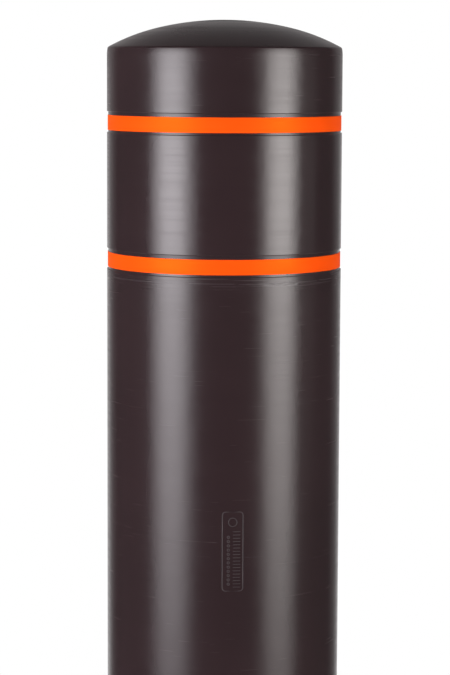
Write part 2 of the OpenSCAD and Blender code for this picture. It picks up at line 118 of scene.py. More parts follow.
def end_tree(tree, geometry, material):
    real = put(tree, "GeometryNodeRealizeInstances", {"Geometry": geometry})
    painted = put(tree, "GeometryNodeSetMaterial", {"Geometry": real.outputs[0], "Material": material})
    put(tree, "NodeGroupOutput", {"Geometry": painted.outputs[0]})


# %% A helper that runs a tree on a mesh and keeps the plain result
def run_tree(tree, name, mesh, **values):
    source = bpy.data.objects.new(name + "_source", mesh)
    SCENE.collection.objects.link(source)
    modifier = source.modifiers.new("Shape", "NODES")
    modifier.node_group = tree
    for item in tree.interface.items_tree:
        label = item.name.lower().replace(" ", "_")
        if item.in_out == "INPUT" and label in values:
            modifier[item.identifier] = values[label]
    bpy.context.view_layer.update()
    evaluated = source.evaluated_get(bpy.context.evaluated_depsgraph_get())
    result = bpy.data.meshes.new_from_object(evaluated)
    bpy.data.objects.remove(source)
    result.name = name
    return result


# %% Helpers for plain meshes
def mesh_of(name, points, faces=(), edges=()):
    mesh = bpy.data.meshes.new(name)
    mesh.from_pydata(points, edges, faces)
    mesh.update()
    return mesh


def chain_mesh(name, points, closed=False):
    last = len(points) if closed else len(points) - 1
    return mesh_of(name, points, edges=[(i, (i + 1) % len(points)) for i in range(last)])


WELD_WITHIN = 1e-6


def tidy_mesh(mesh, sharp_degrees):
    work = bmesh.new()
    work.from_mesh(mesh)
    bmesh.ops.remove_doubles(work, verts=work.verts, dist=WELD_WITHIN)
    bmesh.ops.recalc_face_normals(work, faces=work.faces)
    work.to_mesh(mesh)
    work.free()
    mesh.shade_smooth()
    mesh.set_sharp_from_angle(angle=radians(sharp_degrees))
    return mesh


# %% A helper that turns a mesh into a finished piece of the bollard
def piece(name, mesh, body, slot, stands_for=()):
    made = bpy.data.objects.new(name, mesh)
    SCENE.collection.objects.link(made)
    if not mesh.materials:
        mesh.materials.append(FINISH[slot])
    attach(made, body)
    if stands_for:
        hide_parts(*stands_for)
    print("%-24s %7d faces, rides %s" % (name, len(mesh.polygons), body))


def joined(name, meshes):
    work = bmesh.new()
    for mesh in meshes:
        work.from_mesh(mesh)
    result = bpy.data.meshes.new(name)
    work.to_mesh(result)
    work.free()
    for material in meshes[0].materials:
        result.materials.append(material)
    result.shade_smooth()
    return result


# %% [markdown]
# ## Finishes
# Each finish is built from noise on Object coordinates, so it sticks to the piece when the post
# moves. A round part made on a lathe, or moulded in a round tool, has its marks running round it.
# Those come from a vector of angle, radius and height, stretched so that the noise is long round the
# part and fine along it. Colour changes are kept small and the roughness does most of the work,
# because that is how a worn surface reads.

def start_finish(name, colour, roughness, metallic=0.0, **sockets):
    tree = bpy.data.materials[name].node_tree
    shader = tree.nodes["Principled BSDF"]
    shader.inputs["Base Color"].default_value = (*colour, 1)
    shader.inputs["Roughness"].default_value = roughness
    shader.inputs["Metallic"].default_value = metallic
    for label, value in sockets.items():
        shader.inputs[label.replace("_", " ")].default_value = value
    place = put(tree, "ShaderNodeTexCoord").outputs["Object"]
    return tree, shader, place


def around_axis(tree, place, round_scale, radial_scale, height_scale):
    part = put(tree, "ShaderNodeSeparateXYZ", {0: place}).outputs
    flat = put(tree, "ShaderNodeCombineXYZ", {0: part[0], 1: part[1]}).outputs[0]
    way = put(tree, "ShaderNodeVectorMath", {0: flat}, operation="NORMALIZE").outputs[0]
    radius = put(tree, "ShaderNodeVectorMath", {0: flat}, operation="LENGTH").outputs["Value"]
    turned = put(tree, "ShaderNodeVectorMath", {0: way, 1: (round_scale,) * 3}, operation="MULTIPLY")
    out_and_up = calc(tree, "ADD", calc(tree, "MULTIPLY", radius, radial_scale),
                      calc(tree, "MULTIPLY", part[2], height_scale))
    return put(tree, "ShaderNodeVectorMath", {
        0: turned.outputs[0],
        1: put(tree, "ShaderNodeCombineXYZ", {2: out_and_up}).outputs[0]}).outputs[0]


# %% Noise, bands of value, mixed colours and bumps
def noise(tree, place, scale, detail=3.0, roughness=0.5):
    return put(tree, "ShaderNodeTexNoise", {
        "Vector": place, "Scale": scale, "Detail": detail, "Roughness": roughness}).outputs[0]


def span(tree, value, low, high, to_low, to_high):
    return put(tree, "ShaderNodeMapRange", {
        "Value": value, "From Min": low, "From Max": high, "To Min": to_low, "To Max": to_high},
        interpolation_type="SMOOTHSTEP").outputs[0]


def between(tree, value, low, low_full, high_full, high):
    return calc(tree, "MULTIPLY", span(tree, value, low, low_full, 0.0, 1.0),
                span(tree, value, high_full, high, 1.0, 0.0))


def blend_colours(tree, factor, first, second):
    mix = put(tree, "ShaderNodeMix", {0: factor}, data_type="RGBA")
    for index, colour in ((6, first), (7, second)):
        if isinstance(colour, bpy.types.NodeSocket):
            tree.links.new(colour, mix.inputs[index])
        else:
            mix.inputs[index].default_value = (*colour, 1)
    return mix.outputs[2]


def bump(tree, shader, height, distance, strength, under=None):
    inputs = {"Height": height, "Distance": distance, "Strength": strength}
    if under is not None:
        inputs["Normal"] = under
    made = put(tree, "ShaderNodeBump", inputs).outputs[0]
    tree.links.new(made, shader.inputs["Normal"])
    return made


def wire(tree, shader, **sources):
    for label, source in sources.items():
        tree.links.new(source, shader.inputs[label.replace("_", " ")])


# %% [markdown]
# ### Moulded plastic
# The sleeve is dark brown polyethylene out of a polished mould. It has a faint orange peel, hair-fine
# lines that run round it from cleaning and handling, a few pale scuffs under the lower band, and a
# slightly rubbed crown. The wall between the two bands is a little glossier than the rest. The crests
# of the raised mark take the same pale colour as the scuffs, which is a painted highlight.

# %% Finish of the sleeve
PLASTIC = (0.0202, 0.0111, 0.0125)
# Pale colour for the real scuffs and rubbing, also used as a painted highlight on the raised mark's crests
SCUFF_AND_CREST_HIGHLIGHT = (0.042, 0.032, 0.034)
GRAZED = (0.125, 0.115, 0.118)
RUB_FADES_IN = (POST_TOP - 34 * MM, POST_TOP - 26 * MM)
SCUFF_TOP = BAND_Z[1] - 8.2 * MM
GRAZE_FROM, GRAZE_FULL, GRAZE_FADE, GRAZE_TO = 26 * MM, 42 * MM, 56 * MM, 59 * MM
LINE_Z = SCUFF_TOP - 4.5 * MM


def grazed_patch(tree, place, across, height):
    wide = between(tree, across, GRAZE_FROM, GRAZE_FULL, GRAZE_FADE, GRAZE_TO)
    tall = between(tree, height, LINE_Z - 3.1 * MM, LINE_Z - 1.3 * MM, LINE_Z - 0.3 * MM, LINE_Z + 0.5 * MM)
    fibres = noise(tree, around_axis(tree, place, 9.0, 0.0, 1300.0), 1.0, 3.0)
    torn = span(tree, fibres, 0.42, 0.60, 0.0, 1.0)
    return calc(tree, "MULTIPLY", calc(tree, "MULTIPLY", wide, tall), torn)


def sleeve_wear(tree, place, height):
    streaks = span(tree, noise(tree, around_axis(tree, place, 2.2, 0.0, 1150.0), 1.0, 2.0),
                   0.52, 0.66, 0.0, 0.5)
    under_band = between(tree, height, SCUFF_TOP - 16 * MM, SCUFF_TOP - 1 * MM, SCUFF_TOP - 0.6 * MM,
                         SCUFF_TOP)
    line = between(tree, height, LINE_Z - 0.5 * MM, LINE_Z, LINE_Z, LINE_Z + 0.5 * MM)
    gaps = noise(tree, around_axis(tree, place, 2.6, 0.0, 60.0), 1.0, 3.0)
    marks = calc(tree, "MAXIMUM", calc(tree, "MULTIPLY", streaks, under_band),
                 calc(tree, "MULTIPLY", line, span(tree, gaps, 0.40, 0.60, 0.1, 0.9)))
    rubbing = noise(tree, around_axis(tree, place, 1.6, 120.0, 420.0), 1.0, 3.0)
    rub = calc(tree, "MULTIPLY", span(tree, rubbing, 0.60, 0.74, 0.0, 0.35),
               span(tree, height, *RUB_FADES_IN, 0.0, 1.0))
    return calc(tree, "MAXIMUM", marks, rub)


def sleeve_finish():
    tree, shader, place = start_finish("sleeve_plastic", PLASTIC, 0.23, IOR=1.5)
    part = put(tree, "ShaderNodeSeparateXYZ", {0: place}).outputs
    height = part[2]
    flat = put(tree, "ShaderNodeCombineXYZ", {0: part[0], 1: part[1]}).outputs[0]
    out = put(tree, "ShaderNodeVectorMath", {0: flat}, operation="LENGTH").outputs["Value"]
    # The raised mark's crests are painted paler: a painted highlight standing in for light caught on the
    # ridges
    raised = span(tree, out, SLEEVE_R + 0.08 * MM, SLEEVE_R + 0.24 * MM, 0.0, 0.9)
    lines = noise(tree, around_axis(tree, place, 0.5, 0.0, 900.0), 1.0, 4.0, 0.65)
    scratch = span(tree, noise(tree, around_axis(tree, place, 3.6, 0.0, 1900.0), 1.0, 1.0),
                   0.64, 0.80, 0.0, 1.0)
    front = span(tree, part[1], -1 * MM, 0.0, 1.0, 0.0)
    graze = calc(tree, "MULTIPLY", grazed_patch(tree, place, part[0], height), front)
    # Real scuffs, the parting line and the rubbed crown, together with the painted highlight on the mark's
    # crests
    wear_and_crest_highlight = calc(tree, "MAXIMUM", sleeve_wear(tree, place, height), raised)
    cloud = span(tree, noise(tree, place, 9.0, 3.0), 0.35, 0.7, 0.0, 1.0)
    tint = blend_colours(tree, cloud, PLASTIC, tuple(1.16 * channel for channel in PLASTIC))
    pale = calc(tree, "MAXIMUM", wear_and_crest_highlight, calc(tree, "MULTIPLY", scratch, 0.035))
    polished = calc(tree, "MULTIPLY", span(tree, height, BAND_Z[1], BAND_Z[1] + 2 * MM, 0.0, 1.0),
                    span(tree, height, BAND_Z[0] - 2 * MM, BAND_Z[0], -0.028, 0.0))
    smooth = calc(tree, "ADD", span(tree, lines, 0.28, 0.75, 0.175, 0.275), polished)
    rough = calc(tree, "ADD", smooth, calc(tree, "ADD", calc(tree, "MULTIPLY", wear_and_crest_highlight, 0.20),
                                           calc(tree, "MULTIPLY", scratch, 0.035)))
    # The pale blend carries real wear and the painted highlight on the raised crests
    shade = blend_colours(tree, graze, blend_colours(tree, pale, tint, SCUFF_AND_CREST_HIGHLIGHT), GRAZED)
    wire(tree, shader, Base_Color=shade,
         Roughness=calc(tree, "ADD", rough, calc(tree, "MULTIPLY", graze, 0.2)))
    sink = noise(tree, around_axis(tree, place, 7.0, 0.0, 42.0), 1.0, 2.0)
    wavy = bump(tree, shader, sink, 0.00020, 0.5)
    peel = bump(tree, shader, noise(tree, place, 520.0, 2.0), 0.00003, 0.25, wavy)
    bump(tree, shader, lines, 0.00003, 0.3, peel)


# %% [markdown]
# ### Tape
# The bands are orange reflective film. The layer that sends light back lies under the orange one, so
# even its sheen is orange, and it is broad and weak with no sharp reflection. Part of the finish is
# therefore metallic, which tints a reflection, and the plain white reflection is turned off.

# %% Finish of the tape
ORANGE = (1.0, 0.092, 0.0050)


def tape_finish():
    tree, shader, place = start_finish("reflective_tape", ORANGE, 0.45, 0.25, Specular_IOR_Level=0.0)
    beads = put(tree, "ShaderNodeTexVoronoi", {"Vector": place, "Scale": 2600.0}).outputs["Distance"]
    grime = noise(tree, around_axis(tree, place, 3.0, 0.0, 160.0), 1.0, 4.0, 0.6)
    tint = blend_colours(tree, span(tree, grime, 0.45, 0.8, 0.0, 0.5), ORANGE, (0.95, 0.098, 0.007))
    wire(tree, shader, Base_Color=tint, Roughness=span(tree, grime, 0.3, 0.8, 0.40, 0.50))
    bump(tree, shader, beads, 0.00002, 0.2)


# %% [markdown]
# ### Metals
# Three recipes cover the metals. Galvanised steel shows flat zinc crystals, which a Voronoi pattern
# gives. Turned steel, bronze and chrome have fine rings from the lathe. Bare bar steel is brown with
# rust.

# %% Galvanised steel
def galvanised_finish():
    tree, shader, place = start_finish("galvanised_steel", (0.46, 0.48, 0.49), 0.45, 1.0)
    crystals = put(tree, "ShaderNodeTexVoronoi", {
        "Vector": place, "Scale": 85.0, "Randomness": 1.0}).outputs["Color"]
    shade = put(tree, "ShaderNodeSeparateColor", {0: crystals}).outputs[0]
    bloom = noise(tree, place, 7.0, 4.0, 0.6)
    zinc = blend_colours(tree, shade, (0.34, 0.36, 0.375), (0.56, 0.58, 0.59))
    dull = blend_colours(tree, span(tree, bloom, 0.5, 0.75, 0.0, 0.55), zinc, (0.60, 0.61, 0.60))
    rough = calc(tree, "ADD", calc(tree, "MULTIPLY", shade, 0.16), span(tree, bloom, 0.4, 0.8, 0.3, 0.5))
    wire(tree, shader, Base_Color=dull, Roughness=rough)
    bump(tree, shader, noise(tree, place, 160.0, 3.0), 0.00012, 0.35)


# %% Turned and brushed metals
def turned_finish(name, colour, roughness, ring_scale=2600.0):
    tree, shader, place = start_finish(name, colour, roughness, 1.0)
    rings = noise(tree, around_axis(tree, place, 0.5, ring_scale, ring_scale), 1.0, 3.0, 0.6)
    patch = noise(tree, place, 28.0, 4.0, 0.6)
    worn = tuple(0.72 * channel for channel in colour)
    tint = blend_colours(tree, span(tree, patch, 0.42, 0.72, 0.0, 0.6), colour, worn)
    rough = calc(tree, "ADD", span(tree, rings, 0.3, 0.7, -0.07, 0.07),
                 span(tree, patch, 0.3, 0.7, roughness - 0.04, roughness + 0.08))
    wire(tree, shader, Base_Color=tint, Roughness=rough)
    bump(tree, shader, rings, 0.00002, 0.35)


# %% Rusty bar
def bar_finish():
    tree, shader, place = start_finish("anchor_steel", (0.19, 0.10, 0.06), 0.8, 0.35)
    rust = noise(tree, place, 60.0, 5.0, 0.65)
    scale = noise(tree, place, 240.0, 3.0)
    tint = blend_colours(tree, span(tree, rust, 0.35, 0.68, 0.0, 1.0), (0.085, 0.070, 0.062),
                         (0.29, 0.115, 0.040))
    wire(tree, shader, Base_Color=tint, Roughness=span(tree, rust, 0.3, 0.7, 0.55, 0.92))
    bump(tree, shader, scale, 0.00025, 0.6)


# %% [markdown]
# ### Paint, rubber, nylon, foam and pipe plastic
# These share one recipe: a base colour, dust or handling marks that shift it slightly, a grain of
# the right size and a roughness that varies with the same marks.

# %% Finish for coated, moulded and rubber parts
def coated_finish(name, colour, second, roughness, grain, depth):
    tree, shader, place = start_finish(name, colour, roughness)
    marks = noise(tree, place, 22.0, 4.0, 0.6)
    tint = blend_colours(tree, span(tree, marks, 0.4, 0.75, 0.0, 1.0), colour, second)
    wire(tree, shader, Base_Color=tint,
         Roughness=span(tree, marks, 0.3, 0.75, roughness - 0.05, roughness + 0.1))
    bump(tree, shader, noise(tree, place, grain, 3.0), depth, 0.5)


# %% Make every finish
sleeve_finish()
tape_finish()
galvanised_finish()
bar_finish()
turned_finish("trim_steel", (0.56, 0.565, 0.565), 0.30)
turned_finish("machined_steel", (0.40, 0.41, 0.42), 0.38)
turned_finish("stainless_steel", (0.62, 0.62, 0.61), 0.24)
turned_finish("bearing_bronze", (0.55, 0.36, 0.15), 0.32)
turned_finish("hard_chrome", (0.77, 0.78, 0.79), 0.10, 900.0)
coated_finish("housing_metal", (0.030, 0.022, 0.023), (0.046, 0.036, 0.036), 0.42, 700.0, 0.00006)
coated_finish("black_rubber", (0.012, 0.012, 0.012), (0.030, 0.029, 0.028), 0.72, 900.0, 0.00005)
coated_finish("bearing_nylon", (0.76, 0.73, 0.64), (0.68, 0.65, 0.56), 0.45, 300.0, 0.00003)
coated_finish("packing_foam", (0.78, 0.76, 0.70), (0.70, 0.68, 0.62), 0.90, 1100.0, 0.0003)
coated_finish("black_paint", (0.012, 0.012, 0.013), (0.022, 0.022, 0.022), 0.28, 400.0, 0.00002)
coated_finish("drain_plastic", (0.085, 0.092, 0.096), (0.12, 0.125, 0.125), 0.42, 350.0, 0.00004)

FINISH = {entry["slot"]: bpy.data.materials[entry["slot"]] for entry in frame["record"]["materials"]}
print("finishes:", ", ".join(sorted(FINISH)))

# %% [markdown]
# ## A lathe made of nodes
# The sleeve, the bands, the drain pipe and the seal are all round, so one rule shapes them: take the
# outline on one side of the axis and carry every point of it round a circle. The tree makes a flat
# grid with one row for each point of the outline, then wraps the grid round Z, and a merge closes the
# seam.

# %% The lathe tree
lathe_tree, given = geometry_tree("Lathe", steps_round="whole", material="finish")
rows = put(lathe_tree, "GeometryNodeAttributeDomainSize", {0: given["Geometry"]}).outputs[0]
columns = calc(lathe_tree, "ADD", given["Steps round"], 1)
grid = put(lathe_tree, "GeometryNodeMeshGrid", {"Vertices X": columns, "Vertices Y": rows})
index = put(lathe_tree, "GeometryNodeInputIndex").outputs[0]
row = calc(lathe_tree, "MODULO", index, rows)
column = calc(lathe_tree, "FLOOR", calc(lathe_tree, "DIVIDE", calc(lathe_tree, "ADD", index, 0.5), rows))
turn = calc(lathe_tree, "MULTIPLY", calc(lathe_tree, "DIVIDE", column, given["Steps round"]), 2 * pi)
outline_place = put(lathe_tree, "GeometryNodeInputPosition").outputs[0]
sampled = put(lathe_tree, "GeometryNodeSampleIndex", {
    "Geometry": given["Geometry"], "Value": outline_place, "Index": row}, data_type="FLOAT_VECTOR")
wrapped = put(lathe_tree, "ShaderNodeSeparateXYZ", {0: sampled.outputs[0]}).outputs
ring_place = put(lathe_tree, "ShaderNodeCombineXYZ", {
    0: calc(lathe_tree, "MULTIPLY", wrapped[0], calc(lathe_tree, "COSINE", turn)),
    1: calc(lathe_tree, "MULTIPLY", wrapped[0], calc(lathe_tree, "SINE", turn)),
    2: wrapped[2]}).outputs[0]
spun = put(lathe_tree, "GeometryNodeSetPosition", {"Geometry": grid.outputs[0], "Position": ring_place})
closed = put(lathe_tree, "GeometryNodeMergeByDistance", {"Geometry": spun.outputs[0], "Distance": 2e-6})
end_tree(lathe_tree, closed.outputs[0], given["Material"])
print("lathe tree:", len(lathe_tree.nodes), "nodes")


def lathe(name, outline, slot, steps, sharp_degrees=40):
    points = [(radius, 0.0, height) for radius, height in outline + outline[:1]]
    mesh = run_tree(lathe_tree, name, chain_mesh(name + "_outline", points),
                    steps_round=steps, material=FINISH[slot])
    return tidy_mesh(mesh, sharp_degrees)


# %% [markdown]
# ## The sleeve
# The real sleeve is one moulding: a straight wall that rolls in slightly at the top, a small rounded
# shoulder, a shallow crown of two arcs, and two grooves that keep the tape's edges from being
# scraped. All of that is in the outline, with a real radius on each lip, because a dark glossy part
# is read by the thin lines of light on its edges. Arcs are worked out from a centre and a radius. A
# row of points just beyond each lip keeps the long wall shaded as a true cylinder.

# %% An arc for outlines: angles start straight up and go outwards
def arc(centre_r, centre_z, radius, start, end, steps):
    turns = [radians(start + (end - start) * i / steps) for i in range(steps + 1)]
    return [(centre_r + radius * sin(t), centre_z + radius * cos(t)) for t in turns]


# %% Sizes of the moulding
WALL = 6 * MM
CROWN_R, SHOULDER_R, EDGE_R = 230 * MM, 160 * MM, 2.2 * MM
ROLL_IN_R, ROLL_IN_TURN = 30 * MM, 80
JOIN_TURN = asin(55 * MM / CROWN_R)
CROWN_Z = POST_TOP - CROWN_R
SHOULDER_X = (CROWN_R - SHOULDER_R) * sin(JOIN_TURN)
SHOULDER_Z = CROWN_Z + (CROWN_R - SHOULDER_R) * cos(JOIN_TURN)
EDGE_X = SLEEVE_R - ROLL_IN_R + (ROLL_IN_R - EDGE_R) * sin(radians(ROLL_IN_TURN))
EDGE_Z = SHOULDER_Z + sqrt((SHOULDER_R - EDGE_R) ** 2 - (EDGE_X - SHOULDER_X) ** 2)
ROLL_IN_Z = EDGE_Z - (ROLL_IN_R - EDGE_R) * cos(radians(ROLL_IN_TURN))
MOUTH_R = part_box("lock_housing")[1].x + 0.4 * MM
GROOVE_W, GROOVE_DEPTH, LIP_R, FLOOR_R = 17 * MM, 1 * MM, 0.3 * MM, 0.25 * MM
TAPE_DROP = 0.5 * MM
ROUND_STEPS = 320
print("crown from radius %.1f mm, wall from z = %.1f mm" % (MOUTH_R / MM, ROLL_IN_Z / MM))


# %% The outline, from the crown's mouth down the outside and back up the inside
def groove_outline(z):
    top, bottom = z + GROOVE_W / 2, z - GROOVE_W / 2
    bed = SLEEVE_R - GROOVE_DEPTH
    hold = LIP_R + 0.2 * MM
    return ([(SLEEVE_R, top + hold)] + arc(SLEEVE_R - LIP_R, top + LIP_R, LIP_R, 90, 180, 5)
            + arc(bed + FLOOR_R, top - FLOOR_R, FLOOR_R, 0, -90, 4)
            + arc(bed + FLOOR_R, bottom + FLOOR_R, FLOOR_R, -90, -180, 4)
            + arc(SLEEVE_R - LIP_R, bottom - LIP_R, LIP_R, 0, 90, 5) + [(SLEEVE_R, bottom - hold)])


def dome_outline(inset, edge_turn, steps):
    join = degrees(JOIN_TURN)
    mouth = degrees(asin(MOUTH_R / (CROWN_R - inset)))
    crown = arc(0, CROWN_Z, CROWN_R - inset, mouth, join, steps)
    shoulder = arc(SHOULDER_X, SHOULDER_Z, SHOULDER_R - inset, join, edge_turn, 2 * steps)
    return crown + shoulder[1:]


def sleeve_outline():
    edge_turn = degrees(asin((EDGE_X - SHOULDER_X) / (SHOULDER_R - EDGE_R)))
    inner_turn = degrees(asin((SLEEVE_R - WALL - SHOULDER_X) / (SHOULDER_R - WALL)))
    outside = dome_outline(0, edge_turn, 12)
    outside += arc(EDGE_X, EDGE_Z, EDGE_R, edge_turn, ROLL_IN_TURN, 10)[1:]
    outside += arc(SLEEVE_R - ROLL_IN_R, ROLL_IN_Z, ROLL_IN_R, ROLL_IN_TURN, 90, 6)[1:]
    outside.append((SLEEVE_R, ROLL_IN_Z - 0.5 * MM))
    for z in BAND_Z:
        outside += groove_outline(z + TAPE_DROP)
    foot = [(SLEEVE_R, SLEEVE_FOOT + 1.2 * MM), (SLEEVE_R, SLEEVE_FOOT + 1 * MM),
            (SLEEVE_R - 1 * MM, SLEEVE_FOOT), (SLEEVE_R - WALL, SLEEVE_FOOT)]
    return outside + foot + dome_outline(WALL, inner_turn, 8)[::-1]


sleeve = lathe("moulded_sleeve", sleeve_outline(), "sleeve_plastic", ROUND_STEPS, 50)
piece("moulded_sleeve", sleeve, "post", "sleeve_plastic", ["post_sleeve"])

# %% [markdown]
# ## The tape
# Each band is a strip wound once round the groove. Its ends lap at the back, where the second layer
# stands a little prouder, so the band is turned on the lathe and then lifted along a short lap.

# %% Wind the two bands
TAPE_W, TAPE_T = 12 * MM, 0.45 * MM
LAP_HALF, LAP_LIFT = 14 * MM, 0.2 * MM


def band_outline(z):
    bed, corner = SLEEVE_R - GROOVE_DEPTH, 0.12 * MM
    inner, outer = bed - 0.05 * MM, bed + TAPE_T
    top, bottom = z + TAPE_W / 2, z - TAPE_W / 2
    return ([(inner, top)] + arc(outer - corner, top - corner, corner, 0, 90, 3)
            + arc(outer - corner, bottom + corner, corner, 90, 180, 3) + [(inner, bottom)])


def lift_lap(mesh, half_width, height):
    for vertex in mesh.vertices:
        radius = hypot(vertex.co.x, vertex.co.y)
        along = abs(atan2(vertex.co.x, vertex.co.y)) * radius
        if radius > SLEEVE_R - GROOVE_DEPTH and along < half_width:
            vertex.co.xy *= (radius + height) / radius


for name, z in zip(("upper_reflective_band", "lower_reflective_band"), BAND_Z):
    tape = lathe(name + "_tape", band_outline(z), "reflective_tape", ROUND_STEPS)
    lift_lap(tape, LAP_HALF, LAP_LIFT)
    piece(name + "_tape", tape, "post", "reflective_tape", [name])

# %% [markdown]
# ## Rods that follow a path
# A weld bead, a ribbed bar and a moulded rib are the same shape: a round section that follows a path
# and swells and shrinks along it. One tree makes all three. The path is rounded at its corners, cut
# into short even steps, given a radius that ripples with the distance along it, and swept.

# %% The rippled rod tree
rod_tree, given = geometry_tree("Rippled rod", radius="number", ripple="number", pitch="number",
                                bend="number", step="number", sides="whole", material="finish")
path = put(rod_tree, "GeometryNodeMeshToCurve", {0: given["Geometry"]}).outputs[0]
rounded = put(rod_tree, "GeometryNodeFilletCurve", {
    "Curve": path, "Radius": given["Bend"], "Limit Radius": True}, mode="POLY")
rounded.inputs["Count"].default_value = 8
stepped = put(rod_tree, "GeometryNodeResampleCurve", {
    "Curve": rounded.outputs[0], "Length": given["Step"]}, mode="LENGTH").outputs[0]
distance = put(rod_tree, "GeometryNodeSplineParameter").outputs["Length"]
wave = calc(rod_tree, "SINE", calc(rod_tree, "DIVIDE", calc(rod_tree, "MULTIPLY", distance, 2 * pi),
                                   given["Pitch"]))
swell = calc(rod_tree, "ADD", given["Radius"], calc(rod_tree, "MULTIPLY", wave, given["Ripple"]))
section = put(rod_tree, "GeometryNodeCurvePrimitiveCircle", {"Resolution": given["Sides"], "Radius": 1.0})
swept = put(rod_tree, "GeometryNodeCurveToMesh", {
    "Curve": stepped, "Profile Curve": section.outputs[0], "Scale": swell, "Fill Caps": True})
end_tree(rod_tree, swept.outputs[0], given["Material"])
print("rod tree:", len(rod_tree.nodes), "nodes")


def rod(name, points, slot, radius, ripple=0.0, pitch=1.0, bend=0.0, step=1 * MM, sides=12, loop=False):
    mesh = run_tree(rod_tree, name, chain_mesh(name + "_path", points, loop), radius=radius,
                    ripple=ripple, pitch=pitch, bend=bend, step=step, sides=sides,
                    material=FINISH[slot])
    return tidy_mesh(mesh, 60)


# %% [markdown]
# ## Copies round the axis
# The screws, the anchors and the welds of the gussets stand in rings. This tree puts copies of one
# piece at equal turns about Z, then makes them real, because an exported model drops copies that are
# only references.

# %% The ring tree
ring_tree, given = geometry_tree("Ring of copies", count="whole", start="number", lift="number",
                                 material="finish")
spots = put(ring_tree, "GeometryNodeMeshLine", {"Count": given["Count"], "Offset": (0.0, 0.0, 0.0)})
order = put(ring_tree, "GeometryNodeInputIndex").outputs[0]
each = calc(ring_tree, "ADD", given["Start"], calc(ring_tree, "MULTIPLY", calc(
    ring_tree, "DIVIDE", order, given["Count"]), 2 * pi))
raised = put(ring_tree, "GeometryNodeSetPosition", {
    "Geometry": spots.outputs[0],
    "Position": put(ring_tree, "ShaderNodeCombineXYZ", {2: given["Lift"]}).outputs[0]})
copies = put(ring_tree, "GeometryNodeInstanceOnPoints", {
    "Points": raised.outputs[0], "Instance": given["Geometry"],
    "Rotation": put(ring_tree, "ShaderNodeCombineXYZ", {2: each}).outputs[0]})
end_tree(ring_tree, copies.outputs[0], given["Material"])
print("ring tree:", len(ring_tree.nodes), "nodes")


def ring_of(name, mesh, slot, count, start_degrees, lift=0.0):
    made = run_tree(ring_tree, name, mesh, count=count, start=radians(start_degrees), lift=lift,
                    material=FINISH[slot])
    made.shade_smooth()
    return made


# %% [markdown]
# ## The moulded mark
# A sleeve like this carries a small raised frame from the mould. Here it is a plain rounded frame
# with even ribs, a row of pips and one ring inside, and it says nothing. Each line is a thin rod
# laid on the wall and sunk to half its depth, so only its crest shows.

# %% Lay out the mark on the wall
MARK_LOW, MARK_HIGH, MARK_W = 452.5 * MM, 515.6 * MM, 16.3 * MM
MARK_OFF, MARK_CORNER = 7.8 * MM, 2.6 * MM
MARK_SINK = 0.08 * MM


def on_wall(across, height):
    turn = (MARK_OFF + across) / SLEEVE_R
    reach = SLEEVE_R - MARK_SINK
    return (reach * sin(turn), -reach * cos(turn), height)


def frame_path():
    straight_across = MARK_W / 2 - MARK_CORNER
    straight_up = (MARK_HIGH - MARK_LOW) / 2 - MARK_CORNER
    middle = (MARK_LOW + MARK_HIGH) / 2
    points = []
    for side, end, first in [(1, 1, 0), (-1, 1, 90), (-1, -1, 180), (1, -1, 270)]:
        for i in range(7):
            turn = radians(first + 15 * i)
            points.append(on_wall(side * straight_across + MARK_CORNER * cos(turn),
                                  middle + end * straight_up + MARK_CORNER * sin(turn)))
    return points


def pip(across, height, radius):
    turns = [2 * pi * i / 16 for i in range(16)]
    return [on_wall(across + radius * cos(t), height + radius * sin(t)) for t in turns]


# %% Sweep the frame, ribs, pips and ring as one raised piece
FRAME_LINE_R, LINE_R = 0.40 * MM, 0.36 * MM
RIBS, RIB_PITCH, RIB_ACROSS = 18, 2.6 * MM, (0.3, 1.8, 3.3, 4.8, 6.0)
PIPS, PIP_PITCH, PIP_R, PIP_ACROSS = 12, 3.4 * MM, 0.9 * MM, -3.4 * MM


def raised_line(name, points, step, radius=LINE_R, loop=True):
    return rod(name, points, "sleeve_plastic", radius, step=step, sides=8, loop=loop)


marks = [raised_line("mark_frame", frame_path(), 0.8 * MM, FRAME_LINE_R)]
for i in range(RIBS):
    height = MARK_LOW + 3.2 * MM + RIB_PITCH * i
    rib = [on_wall(across * MM, height) for across in RIB_ACROSS]
    marks.append(raised_line("mark_rib", rib, 0.8 * MM, loop=False))
for i in range(PIPS):
    height = MARK_LOW + 5.6 * MM + PIP_PITCH * i
    marks.append(raised_line("mark_pip", pip(PIP_ACROSS, height, PIP_R), 0.4 * MM))
marks.append(raised_line("mark_ring", pip(0, MARK_HIGH - 8.2 * MM, 3.4 * MM), 0.5 * MM))
piece("moulded_mark", joined("moulded_mark", marks), "post", "sleeve_plastic")

# %% [markdown]
# ## Broken edges
# A machined or cast part has its corners broken, and the thin bright line there is what makes it
# look solid. The mechanical parts have perfect corners, so each part that can be seen is copied, its
# loose triangles are merged back into whole faces, and a narrow bevel goes along the sharp edges.

# %% A helper that bevels a copy of a mechanical part
def softened(node, width, slot, body, new_name, sharp_degrees=32):
    mesh = frame["nodes"][node].data.copy()
    mesh.name = new_name
    work = bmesh.new()
    work.from_mesh(mesh)
    bmesh.ops.remove_doubles(work, verts=work.verts, dist=2e-6)
    bmesh.ops.dissolve_limit(work, angle_limit=radians(0.4), verts=work.verts, edges=work.edges,
                             delimit={"NORMAL"})
    sharp = [edge for edge in work.edges
             if len(edge.link_faces) == 2 and edge.calc_face_angle(0) > radians(sharp_degrees)]
    bmesh.ops.bevel(work, geom=sharp, offset=width, offset_type="OFFSET", segments=2, profile=0.5,
                    affect="EDGES", clamp_overlap=True)
    work.to_mesh(mesh)
    work.free()
    mesh.materials.clear()
    mesh.shade_smooth()
    mesh.set_sharp_from_angle(angle=radians(sharp_degrees))
    piece(new_name, mesh, body, slot, [node])


